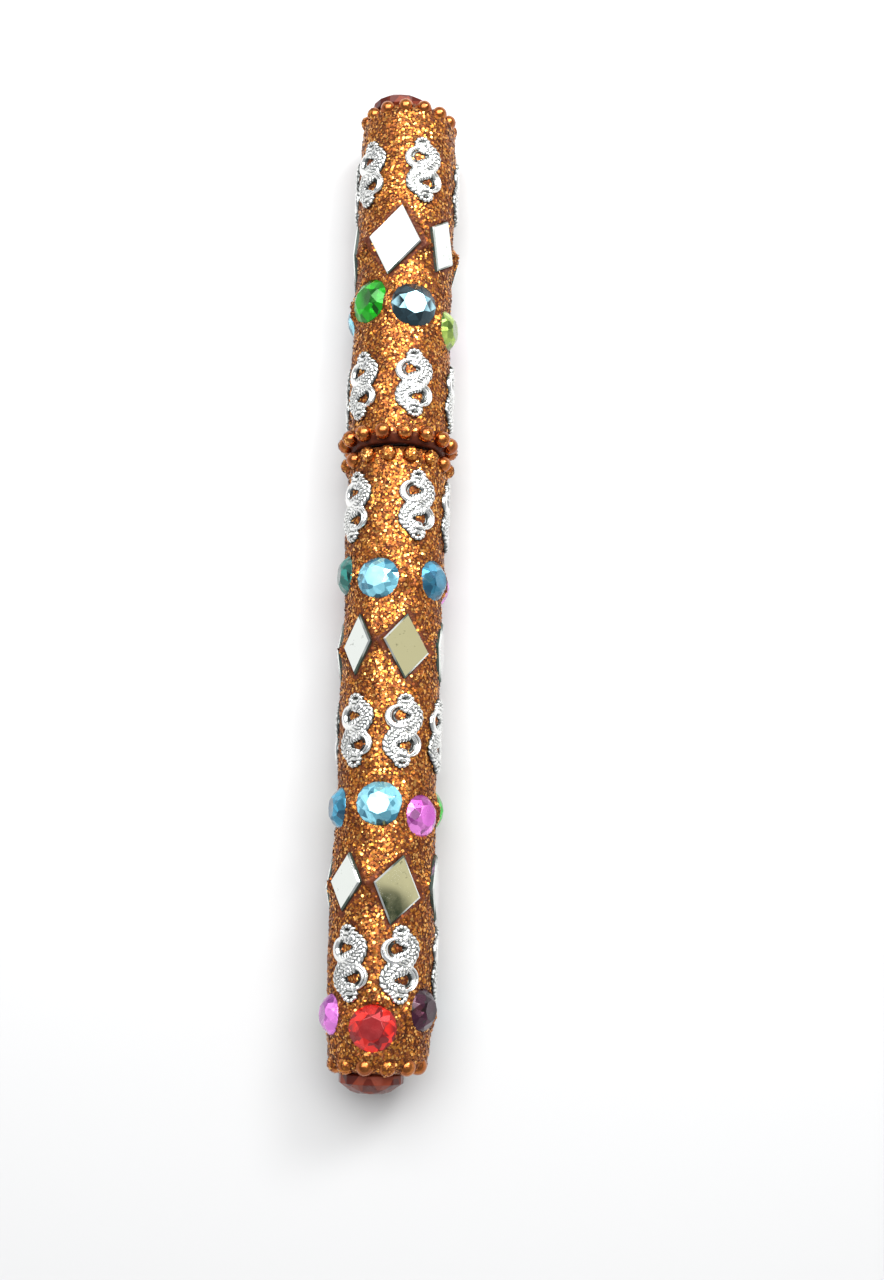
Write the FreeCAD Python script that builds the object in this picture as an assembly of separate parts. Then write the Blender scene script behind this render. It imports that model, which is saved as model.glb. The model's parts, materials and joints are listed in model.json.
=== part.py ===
"""A capped ballpoint pen in a hand-made shell of glittered lac.

A plain plastic pen (barrel tube, tail plug, nose section, refill and cap tube) carries a lac shell on its barrel
and another on its cap. Faceted stones, diamond mirrors and cast scroll plates are pressed into the lac in rows,
a ring of beads closes each end of each shell, and a large cut stone is glued on each end face.

The pen lies along Y with its cap towards +Y. Stations are millimetres along the pen from the tail stone's
table; angles are degrees about the pen, 0 at the top and 90 at +X. The origin is on the surface that the pen
lies on, under the middle of its length.
"""

import FreeCAD
import Part

import math
import os

Vector = FreeCAD.Vector

# ---- driving dimensions, millimetres and degrees ----

PEN_LENGTH = 150.0
JOINT_STATION = 91.4  # the barrel shell's mouth; the cap's mouth stands just clear of it
CAP_MOUTH_GAP = 0.6
TUBE_RECESS = 0.5  # how far inside the lac mouth the cap tube ends

END_STONE_RADIUS = 4.5
END_STONE_TABLE = 2.3
END_STONE_BACK = 4.0
END_STONE_CROWN = 1.35
END_STONE_GIRDLE = 1.15
END_STONE_PAVILION = 0.4
END_STONE_HEIGHT = END_STONE_CROWN + END_STONE_GIRDLE + END_STONE_PAVILION
TAIL_STONE_SHIFT = (-0.8, 0)  # both end stones are glued on a little off centre: across, then up
CAP_STONE_SHIFT = (-1.3, 0.9)

STONE_TABLE_SHARE = 0.48  # of the stone's radius
STONE_BACK_INSET = 0.3
STONE_PAVILION = 0.35
STONE_GIRDLE = 0.25
STONE_CROWN = 1.35
STONE_HEIGHT = STONE_PAVILION + STONE_GIRDLE + STONE_CROWN
STONE_PROUD = 1.1  # height of the table above the lac

MIRROR_THICKNESS = 1.15
MIRROR_BEVEL = 0.22
MIRROR_PROUD = 0.35

SCROLL_LOOP_RADIUS = 2.7
SCROLL_LOOP_OFFSET = 2.1
SCROLL_END_RADIUS = 1.1
SCROLL_END_OFFSET = 4.3
SCROLL_HOLE_RADIUS = 0.75
SCROLL_HOLE_ACROSS = 0.55
SCROLL_HOLE_ALONG = 2.2
SCROLL_SUNK = 0.3
SCROLL_PROUD = 0.65

TUBE_OUTER = 5.0  # barrel tube
TUBE_INNER = 3.8
CAP_TUBE_OUTER = 5.5
CAP_TUBE_INNER = 4.5
CAP_TUBE_WALL = 1.2
PLUG_FLANGE = 1.2
PLUG_SPIGOT = 6.0
REFILL_RADIUS = 1.6
INK_RADIUS = 1.1
SLIDING_CLEARANCE = 0.05
BALL_RADIUS = 0.5
BALL_CLEARANCE = 0.03

TAIL_FACE = END_STONE_HEIGHT
CAP_FACE = PEN_LENGTH - END_STONE_HEIGHT
CAP_MOUTH = JOINT_STATION + CAP_MOUTH_GAP
TUBE_BACK = TAIL_FACE + 3.6
CAP_TUBE_END = CAP_FACE - 2.9

# (station, radius) of each shell's outer surface from end to end. It swells and narrows as rolled lac does.
BARREL_SURFACE = [
    (TAIL_FACE, 5.4), (TAIL_FACE + 0.7, 6.4), (TAIL_FACE + 2.2, 6.95), (8, 7.15), (15, 7.38), (25, 7.42),
    (33, 7.2), (40, 7.0), (48, 7.08), (57, 7.2), (63, 7.12), (69, 7.04), (75, 7.2), (81, 7.4), (90.6, 7.25),
    (JOINT_STATION, 6.6),
]
CAP_SURFACE = [
    (CAP_MOUTH, 6.7), (93.0, 7.35), (97, 7.5), (102, 7.58), (108, 7.38), (114, 7.2), (120, 7.24), (127, 7.32),
    (137, 7.45), (CAP_FACE - 2.2, 7.15), (CAP_FACE - 0.7, 6.4), (CAP_FACE, 5.4),
]

# Bead rings: station, ring radius, bead radius and the angle of each bead.
TAIL_BEADS = dict(station=TAIL_FACE + 1.0, ring=5.8, bead=1.3, angles=[15 + 30 * i for i in range(12)])
JOINT_BEADS = dict(station=JOINT_STATION - 1.3, ring=7.25, bead=1.2, angles=[16.4 + 360 / 14 * i for i in range(14)])
CROWN_BEADS = dict(station=CAP_FACE - 1.0, ring=6.4, bead=1.15, angles=[21.5 + 360 / 14 * i for i in range(14)])

# The mouth ring was set by hand a little unevenly. The pen lies on its two lowest beads, one each side of the bottom.
LOWEST_BEADS = 12  # degrees from the bottom
MOUTH_BEADS = dict(
    station=CAP_MOUTH + 1.4, ring=7.8, bead=1.25,
    angles=[-87.7, -63.7, -39.7, -15.7, 8.3, 32.3, 56.3, 80.3, 102.2, 124.1, 146, 180 - LOWEST_BEADS,
            180 + LOWEST_BEADS, 218.8, 245.5],
)

# Rows of scrolls: station of the row, then (angle, twist in its own plane) of each scroll.
CAP_SCROLLS_UPPER = (135.2, [(-47, 3), (20.5, -8), (95, 4), (150, -3), (205, 2), (259, -5)])
CAP_SCROLLS_LOWER = (101.0, [(-46, 1), (17, -5), (86, 3), (142, -2), (198, 4), (256, -4)])
BARREL_SCROLLS_UPPER = (82.6, [(-51, 4), (26, -3), (87, -4), (158, 3), (233, -2)])
BARREL_SCROLLS_MIDDLE = (49.6, [(-38, -2), (18.5, 0), (76, -4), (134, 3), (192, -3), (250, 5)])
BARREL_SCROLLS_LOWER = (17.5, [(-33, -8), (22.5, -2), (97, 4), (150, -5), (207, 3)])

# Rows of mirrors, each cut by hand: station of the row, then for each mirror its angle, its offset from the row,
# its long diagonal and that diagonal's lean, and its cross diagonal and that one's lean.
CAP_MIRRORS = (123.7, [
    (-10.5, 0, 11.4, 9.5, 8.0, 7.8), (51, 0.3, 9.2, 13.1, 6.65, 41.3), (121, 0, 11.2, 5, 7.8, 5),
    (193, 0.2, 11.3, -6, 7.9, -4), (266, -0.2, 11.0, 9, 7.7, 9),
])
BARREL_MIRRORS_UPPER = (61.7, [
    (-41, 0.3, 8.8, 3.5, 5.2, -6), (18.5, 0, 9.5, 0.9, 7.05, 13.3), (84, 0.3, 9.3, 4, 6.6, 6),
    (143, 0, 9.6, -6, 6.8, -9), (202, -0.2, 9.2, 6, 6.4, 3), (261, 0.1, 9.4, 2, 6.5, 5),
])
BARREL_MIRRORS_LOWER = (27.9, [
    (-43.5, 0.6, 8.1, 6.8, 5.9, 1.2), (16.5, -0.4, 9.7, 9.4, 6.95, 16), (83, 0.2, 9.4, -4, 6.6, -3),
    (142, -0.2, 9.6, 8, 6.7, 11), (200, 0.1, 9.1, -5, 6.5, -2), (258, 0, 9.4, 3, 6.4, 4),
])

# Rows of stones: station of the row, then (colour, radius, angle, station offset) of each stone.
CAP_STONES = (113.4, [
    ("green", 3.4, -45, 1.2), ("slate", 3.3, 14.5, 0), ("olive", 3.0, 75, -1.9), ("pink", 3.0, 136, 0.4),
    ("red", 3.1, 197, -0.6), ("sky", 3.1, 256, 0.5),
])
UPPER_STONES = (71.8, [
    ("teal", 3.0, -77, 1.2), ("sky", 3.05, -17.5, -0.2), ("azure", 3.0, 58, 0.3), ("lilac", 3.0, 113, 0.5),
    ("green", 3.1, 168, -0.3), ("red", 3.0, 224, 0.4),
])
MIDDLE_STONES = (38.9, [
    ("azure", 3.0, -73, 0), ("sky", 3.15, -6.2, 0.4), ("pink", 3.0, 48.8, -1.0), ("green", 3.1, 108, 0.3),
    ("red", 3.0, 168, -0.4), ("olive", 3.0, 228, 0),
])
LOWER_STONES = (10.3, [
    ("lilac", 2.9, -69, 0.2), ("red", 3.2, -4.7, -1.3), ("plum", 3.0, 61, 1.1), ("sky", 3.1, 121, 0),
    ("pink", 3.0, 178, -0.3), ("green", 3.0, 234, 0.3),
])

AXIS_HEIGHT = MOUTH_BEADS["ring"] * math.cos(math.radians(LOWEST_BEADS)) + MOUTH_BEADS["bead"]


# ---- helpers: every shape is made about the Y axis and lifted to AXIS_HEIGHT on export ----

def along(station):
    """The Y of a station."""
    return station - PEN_LENGTH / 2


def point(radius, station):
    return Vector(radius, along(station), 0)


def turned(*outline):
    """A solid of revolution about the pen's axis, from the corners of a closed outline."""
    return Part.Face(Part.makePolygon([*outline, outline[0]])).revolve(Vector(0, 0, 0), Vector(0, 1, 0), 360)


def surface_radius(surface, station):
    """The radius of a shell's outer surface at a station."""
    for (s0, r0), (s1, r1) in zip(surface, surface[1:]):
        if s0 <= station <= s1:
            return r0 + (r1 - r0) * (station - s0) / (s1 - s0)
    raise ValueError(f"no lac at station {station}")


def faceted(rings, *faces):
    """A closed solid with flat faces, each a list of (ring, index) corners."""
    made = [Part.Face(Part.makePolygon([rings[r][i % len(rings[r])] for r, i in face + face[:1]])) for face in faces]
    solid = Part.Solid(Part.Shell(made))
    if solid.Volume < 0:
        solid.reverse()
    return solid


def around(radius, height, count, start=0.0):
    """Points evenly spaced on a circle about Z."""
    step = 2 * math.pi / count
    return [Vector(radius * math.cos(start + i * step), radius * math.sin(start + i * step), height)
            for i in range(count)]


def cut_stone(radius, table, back, crown, girdle, pavilion):
    """A brilliant-cut stone about Z with its flat back at z = 0: 8 kites, 8 star facets and 16 girdle facets."""
    mains = 8
    half = math.pi / mains
    middle = 0.8 * radius
    share = (middle * math.cos(half) - table) / (radius - table)
    belt = pavilion + girdle
    top = belt + crown
    rings = [
        around(back, 0, 2 * mains),
        around(radius, pavilion, 2 * mains),
        around(radius, belt, 2 * mains),
        around(middle, top - share * crown, mains, half),
        around(table, top, mains),
    ]
    faces = [[(0, i) for i in range(2 * mains)], [(4, i) for i in range(mains)]]
    for i in range(2 * mains):
        if pavilion:
            faces.append([(0, i), (0, i + 1), (1, i + 1), (1, i)])
        faces.append([(1, i), (1, i + 1), (2, i + 1), (2, i)])
    for i in range(mains):
        faces.append([(4, i), (3, i - 1 + mains), (2, 2 * i), (3, i)])
        faces.append([(4, i), (3, i), (4, i + 1)])
        faces.append([(3, i), (2, 2 * i), (2, 2 * i + 1)])
        faces.append([(3, i), (2, 2 * i + 1), (2, 2 * i + 2)])
    return faceted(rings, *faces)


def set_on_shell(shape, angle, station, twist=0.0):
    """Moves a shape whose +Z faces out and whose +Y runs along the pen to its place round the pen."""
    placed = shape.copy()
    placed.rotate(Vector(0, 0, 0), Vector(0, 0, 1), -twist)
    placed.rotate(Vector(0, 0, 0), Vector(0, 1, 0), angle)
    placed.translate(Vector(0, along(station), 0))
    return placed


# ---- trim ----

def bead_ring(station, ring, bead, angles):
    ball = Part.makeSphere(bead, Vector(0, 0, ring))
    return [set_on_shell(ball, angle, station) for angle in angles]


def stone_row(row, stations):
    """(colour, solid) for each stone of a row, sunk in the lac so that its table stands STONE_PROUD above it."""
    station, stones = row
    placed = []
    for colour, size, angle, offset in stones:
        stone = cut_stone(size, STONE_TABLE_SHARE * size, size - STONE_BACK_INSET,
                          STONE_CROWN, STONE_GIRDLE, STONE_PAVILION)
        radius = surface_radius(stations, station + offset)
        stone.translate(Vector(0, 0, radius + STONE_PROUD - STONE_HEIGHT))
        placed.append((colour, set_on_shell(stone, angle, station + offset)))
    return placed


def diamond_mirror(long, lean, cross, cross_lean):
    """A flat four-sided mirror with bevelled front edges, drawn from its two diagonals, its back at z = 0."""
    lean, cross_lean = math.radians(lean), math.radians(cross_lean)
    tip = Vector(long / 2 * math.sin(lean), long / 2 * math.cos(lean), 0)
    side = Vector(cross / 2 * math.cos(cross_lean), -cross / 2 * math.sin(cross_lean), 0)
    narrowest = min((tip - side).Length, (tip + side).Length)
    half_width = tip.cross(side).Length / narrowest
    inset = 1 - MIRROR_BEVEL / half_width

    def diamond(scale, height):
        lift = Vector(0, 0, height)
        return [tip * scale + lift, side * scale + lift, tip * -scale + lift, side * -scale + lift]

    rings = [diamond(1, 0), diamond(1, MIRROR_THICKNESS - MIRROR_BEVEL), diamond(inset, MIRROR_THICKNESS)]
    faces = [[(0, i) for i in range(4)], [(2, i) for i in range(4)]]
    for i in range(4):
        faces.append([(0, i), (0, i + 1), (1, i + 1), (1, i)])
        faces.append([(1, i), (1, i + 1), (2, i + 1), (2, i)])
    return faceted(rings, *faces)


def mirror_row(row, stations):
    station, mirrors = row
    placed = []
    for angle, offset, *diagonals in mirrors:
        mirror = diamond_mirror(*diagonals)
        radius = surface_radius(stations, station + offset)
        mirror.translate(Vector(0, 0, radius + MIRROR_PROUD - MIRROR_THICKNESS))
        placed.append(set_on_shell(mirror, angle, station + offset))
    return placed


def scroll_outline():
    """An upright prism with the scroll's outline: two loops and two end rings, holed like a figure of eight."""
    depth = 30.0

    def disc(radius, across, along_pen):
        return Part.makeCylinder(radius, depth, Vector(across, along_pen, 0))

    loops = disc(SCROLL_LOOP_RADIUS, 0, SCROLL_LOOP_OFFSET)
    solid = loops.fuse([
        disc(SCROLL_LOOP_RADIUS, 0, -SCROLL_LOOP_OFFSET),
        disc(SCROLL_END_RADIUS, 0, SCROLL_END_OFFSET),
        disc(SCROLL_END_RADIUS, 0, -SCROLL_END_OFFSET),
    ]).removeSplitter()
    return solid.cut([
        disc(SCROLL_HOLE_RADIUS, -SCROLL_HOLE_ACROSS, SCROLL_HOLE_ALONG),
        disc(SCROLL_HOLE_RADIUS, SCROLL_HOLE_ACROSS, -SCROLL_HOLE_ALONG),
    ])


def scroll_row(row, stations):
    """Scroll plates bent round the pen: the outline's prism kept only within a thin tube."""
    station, pieces = row
    radius = surface_radius(stations, station)
    reach = 20.0
    middle = Vector(0, -reach / 2, 0)
    outer = Part.makeCylinder(radius + SCROLL_PROUD, reach, middle, Vector(0, 1, 0))
    inner = Part.makeCylinder(radius - SCROLL_SUNK, reach, middle, Vector(0, 1, 0))
    tube = outer.cut(inner)
    placed = []
    for angle, twist in pieces:
        prism = scroll_outline()
        prism.rotate(Vector(0, 0, 0), Vector(0, 0, 1), -twist)
        placed.append(set_on_shell(prism.common(tube).Solids[0], angle, station))
    return placed


def end_stone(shift, at_cap):
    """The large stone glued on an end face, its table facing away from the pen."""
    stone = cut_stone(END_STONE_RADIUS, END_STONE_TABLE, END_STONE_BACK,
                      END_STONE_CROWN, END_STONE_GIRDLE, END_STONE_PAVILION)
    stone.rotate(Vector(0, 0, 0), Vector(1, 0, 0), -90 if at_cap else 90)
    across, up = shift
    stone.translate(Vector(across, along(CAP_FACE if at_cap else TAIL_FACE), up))
    return stone


# ---- lac shells ----

def barrel_shell():
    """Lac round the barrel tube, closed at the tail."""
    seat = TUBE_BACK - PLUG_FLANGE
    return turned(point(0, TAIL_FACE), *[point(r, s) for s, r in BARREL_SURFACE],
                  point(TUBE_OUTER, JOINT_STATION), point(TUBE_OUTER, seat), point(0, seat))


def cap_shell():
    """Lac round the cap tube, closed at the crown."""
    return turned(*[point(r, s) for s, r in CAP_SURFACE], point(0, CAP_FACE),
                  point(0, CAP_TUBE_END), point(CAP_TUBE_OUTER, CAP_TUBE_END), point(CAP_TUBE_OUTER, CAP_MOUTH))


# ---- the plastic pen inside ----

def barrel_tube():
    return turned(point(TUBE_INNER, TUBE_BACK), point(TUBE_OUTER, TUBE_BACK),
                  point(TUBE_OUTER, JOINT_STATION), point(TUBE_INNER, JOINT_STATION))


def tail_plug():
    """Closes the barrel tube's back end; its flange lies between the tube and the lac."""
    flange_back = TUBE_BACK - PLUG_FLANGE
    hollow = 2.4
    return turned(
        point(0, flange_back), point(TUBE_OUTER, flange_back), point(TUBE_OUTER, TUBE_BACK),
        point(TUBE_INNER, TUBE_BACK), point(TUBE_INNER, TUBE_BACK + PLUG_SPIGOT),
        point(hollow, TUBE_BACK + PLUG_SPIGOT), point(hollow, TUBE_BACK + 1), point(0, TUBE_BACK + 1),
    )


def cap_tube():
    mouth = CAP_MOUTH + TUBE_RECESS
    inner_end = CAP_TUBE_END - CAP_TUBE_WALL
    return turned(
        point(CAP_TUBE_INNER, mouth), point(CAP_TUBE_OUTER, mouth), point(CAP_TUBE_OUTER, CAP_TUBE_END),
        point(0, CAP_TUBE_END), point(0, inner_end), point(CAP_TUBE_INNER, inner_end),
    )


SECTION_BACK = JOINT_STATION - 11.4
SECTION_FRONT = JOINT_STATION + 36.6
SECTION_STEP = SECTION_FRONT - 12.0  # the bore narrows here, and the refill's shoulder stops against it
NOSE_BORE = 1.3
SHOULDER_STATION = SECTION_STEP - 0.3
TIP_BACK = SHOULDER_STATION + 5.3
BALL_STATION = SECTION_FRONT + 2.8
REFILL_BACK = 18.0


def nose_section():
    """The grip: a spigot in the barrel tube, a flange, the collar that the cap slides on, and a tapering nose."""
    spigot = TUBE_INNER - SLIDING_CLEARANCE
    collar = CAP_TUBE_INNER - SLIDING_CLEARANCE
    bore = REFILL_RADIUS + SLIDING_CLEARANCE
    flange_back = JOINT_STATION + 0.1
    outline = [
        point(bore, SECTION_BACK), point(spigot - 0.3, SECTION_BACK), point(spigot, SECTION_BACK + 0.6),
        point(spigot, flange_back), point(collar + 0.35, flange_back), point(collar + 0.35, JOINT_STATION + 0.9),
        point(collar, JOINT_STATION + 0.9), point(collar, JOINT_STATION + 8.0),
        point(collar - 0.35, JOINT_STATION + 8.5),
    ]
    groove_count, groove_pitch, groove_depth = 7, 1.8, 0.3
    first_groove = JOINT_STATION + 11.0
    for i in range(groove_count):
        near = first_groove + groove_pitch * i
        radius = collar - 0.4 - 0.035 * (near - first_groove)
        outline += [point(radius, near), point(radius - groove_depth, near + 0.3),
                    point(radius - groove_depth, near + 0.7), point(radius - 0.03, near + 1.0)]
    outline += [
        point(collar - 1.0, JOINT_STATION + 25.0), point(1.9, SECTION_FRONT - 0.6), point(1.6, SECTION_FRONT),
        point(NOSE_BORE, SECTION_FRONT), point(NOSE_BORE, SECTION_STEP), point(bore, SECTION_STEP),
    ]
    return turned(*outline)


def refill_parts():
    """Ink tube, ink, socket, point and ball, in line from the tail to the tip."""
    channel = 0.35
    spigot_length, seat_length = 4.0, 5.0
    tip_spigot = 0.8
    tube = turned(point(INK_RADIUS, REFILL_BACK), point(REFILL_RADIUS, REFILL_BACK),
                  point(REFILL_RADIUS, SHOULDER_STATION - 3.5), point(INK_RADIUS, SHOULDER_STATION - 3.5))
    tube_end = SHOULDER_STATION - 3.5
    ink = turned(point(0, REFILL_BACK + 22), point(INK_RADIUS, REFILL_BACK + 22.6),
                 point(INK_RADIUS, tube_end - spigot_length), point(0, tube_end - spigot_length))
    socket = turned(
        point(channel, tube_end - spigot_length), point(INK_RADIUS, tube_end - spigot_length),
        point(INK_RADIUS, tube_end), point(REFILL_RADIUS, tube_end), point(REFILL_RADIUS, SHOULDER_STATION),
        point(NOSE_BORE - SLIDING_CLEARANCE, SHOULDER_STATION), point(NOSE_BORE - SLIDING_CLEARANCE, TIP_BACK),
        point(tip_spigot, TIP_BACK), point(tip_spigot, TIP_BACK - seat_length), point(channel, TIP_BACK - seat_length),
    )
    lip = BALL_STATION + 0.22
    tip = turned(
        point(channel, TIP_BACK - seat_length), point(tip_spigot, TIP_BACK - seat_length),
        point(tip_spigot, TIP_BACK), point(NOSE_BORE - 0.15, TIP_BACK), point(NOSE_BORE - 0.15, SECTION_FRONT + 0.3),
        point(0.62, lip), point(0, lip), point(0, BALL_STATION - 1), point(channel, BALL_STATION - 1),
    )
    seat = Part.makeSphere(BALL_RADIUS + BALL_CLEARANCE, point(0, BALL_STATION))
    feed = Part.makeCylinder(channel, 1.2, point(0, BALL_STATION - 1.1), Vector(0, 1, 0))
    ball = Part.makeSphere(BALL_RADIUS, point(0, BALL_STATION))
    return {"refill_tube": tube, "refill_ink": ink, "refill_socket": socket,
            "refill_point": tip.cut([seat, feed]), "point_ball": ball}


# ---- assembly ----

def stone_names(prefix, placed):
    """Nodes such as upper_stone_2_sky, numbered round the row."""
    return {f"{prefix}_{i}_{colour}": [solid] for i, (colour, solid) in enumerate(placed, 1)}


def barrel_trim():
    trim = {
        "tail_beads": bead_ring(**TAIL_BEADS),
        "joint_beads": bead_ring(**JOINT_BEADS),
        "barrel_scrolls_upper": scroll_row(BARREL_SCROLLS_UPPER, BARREL_SURFACE),
        "barrel_scrolls_middle": scroll_row(BARREL_SCROLLS_MIDDLE, BARREL_SURFACE),
        "barrel_scrolls_lower": scroll_row(BARREL_SCROLLS_LOWER, BARREL_SURFACE),
        "barrel_mirrors_upper": mirror_row(BARREL_MIRRORS_UPPER, BARREL_SURFACE),
        "barrel_mirrors_lower": mirror_row(BARREL_MIRRORS_LOWER, BARREL_SURFACE),
    }
    trim.update(stone_names("upper_stone", stone_row(UPPER_STONES, BARREL_SURFACE)))
    trim.update(stone_names("middle_stone", stone_row(MIDDLE_STONES, BARREL_SURFACE)))
    trim.update(stone_names("lower_stone", stone_row(LOWER_STONES, BARREL_SURFACE)))
    return trim


def cap_trim():
    trim = {
        "mouth_beads": bead_ring(**MOUTH_BEADS),
        "crown_beads": bead_ring(**CROWN_BEADS),
        "cap_scrolls_upper": scroll_row(CAP_SCROLLS_UPPER, CAP_SURFACE),
        "cap_scrolls_lower": scroll_row(CAP_SCROLLS_LOWER, CAP_SURFACE),
        "cap_mirrors": mirror_row(CAP_MIRRORS, CAP_SURFACE),
    }
    trim.update(stone_names("cap_stone", stone_row(CAP_STONES, CAP_SURFACE)))
    return trim


def seated(shell, trim):
    """The lac shell with a seat cut for every piece pressed into it."""
    return shell.cut([solid for solids in trim.values() for solid in solids])


def build():
    on_barrel, on_cap = barrel_trim(), cap_trim()
    nodes = {
        "barrel_lac": [seated(barrel_shell(), on_barrel)],
        "cap_lac": [seated(cap_shell(), on_cap)],
        "barrel_tube": [barrel_tube()],
        "tail_plug": [tail_plug()],
        "cap_tube": [cap_tube()],
        "nose_section": [nose_section()],
        "tail_stone": [end_stone(TAIL_STONE_SHIFT, at_cap=False)],
        "crown_stone": [end_stone(CAP_STONE_SHIFT, at_cap=True)],
    }
    nodes.update(on_barrel)
    nodes.update(on_cap)
    nodes.update({name: [shape] for name, shape in refill_parts().items()})
    return nodes


def main():
    os.makedirs("parts", exist_ok=True)
    for name, solids in build().items():
        pieces = [piece for solid in solids for piece in solid.Solids]
        shape = pieces[0] if len(pieces) == 1 else Part.makeCompound(pieces)
        shape.translate(Vector(0, 0, AXIS_HEIGHT))
        shape.exportStep(f"parts/{name}.step")
        print(f"{name}: {len(pieces)} solids, {shape.Volume:.2f} mm3, valid {shape.isValid()}")


main()
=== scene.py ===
"""A capped ballpoint pen in a hand-made lac shell, with glitter, beads, cast scroll plates, mirrors and stones.

Lengths are in metres. The pen lies along Y with its tail at the -Y end.
An angle of 0 faces up, and 90 degrees faces +X.
"""

import json
import math

import bmesh
import bpy
import numpy as np
from mathutils import Matrix, Vector, noise
from mathutils.bvhtree import BVHTree

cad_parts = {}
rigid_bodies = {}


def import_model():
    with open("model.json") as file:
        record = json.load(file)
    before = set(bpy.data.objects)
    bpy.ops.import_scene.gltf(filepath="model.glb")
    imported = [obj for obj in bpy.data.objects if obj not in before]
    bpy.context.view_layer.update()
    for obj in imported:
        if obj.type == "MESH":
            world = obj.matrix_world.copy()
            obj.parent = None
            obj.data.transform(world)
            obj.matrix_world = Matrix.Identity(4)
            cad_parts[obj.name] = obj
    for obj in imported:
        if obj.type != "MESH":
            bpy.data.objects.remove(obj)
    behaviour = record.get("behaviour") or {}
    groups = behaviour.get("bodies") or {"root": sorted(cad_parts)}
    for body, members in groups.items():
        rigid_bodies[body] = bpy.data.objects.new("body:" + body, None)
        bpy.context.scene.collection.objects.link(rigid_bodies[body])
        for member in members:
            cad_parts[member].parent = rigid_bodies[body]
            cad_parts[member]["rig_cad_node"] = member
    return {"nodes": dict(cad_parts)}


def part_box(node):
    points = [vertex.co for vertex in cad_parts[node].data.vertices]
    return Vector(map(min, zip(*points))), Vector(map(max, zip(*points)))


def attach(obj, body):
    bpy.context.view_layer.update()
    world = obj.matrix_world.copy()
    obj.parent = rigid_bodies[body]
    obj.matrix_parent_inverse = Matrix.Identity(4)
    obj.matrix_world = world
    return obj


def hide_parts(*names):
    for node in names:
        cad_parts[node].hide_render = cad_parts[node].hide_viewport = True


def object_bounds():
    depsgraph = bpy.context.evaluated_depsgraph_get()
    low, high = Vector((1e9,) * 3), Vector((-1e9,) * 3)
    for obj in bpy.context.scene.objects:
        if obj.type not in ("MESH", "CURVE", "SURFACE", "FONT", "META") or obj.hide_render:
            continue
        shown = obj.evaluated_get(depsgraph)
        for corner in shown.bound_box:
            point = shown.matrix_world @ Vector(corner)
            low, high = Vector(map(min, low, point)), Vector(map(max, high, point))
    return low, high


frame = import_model()
for leftover in [o for o in bpy.data.objects if "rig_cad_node" not in o and not o.name.startswith("body:")]:
    bpy.data.objects.remove(leftover)
cad_low, cad_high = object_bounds()
NODES = frame["nodes"]

MM = 0.001
tube_low, tube_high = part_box("barrel_tube")
AXIS_X = (tube_low.x + tube_high.x) / 2
AXIS_Z = (tube_low.z + tube_high.z) / 2
AXIS = np.array([AXIS_X, 0.0, AXIS_Z])


# ---------------------------------------------------------------- shaders

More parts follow.
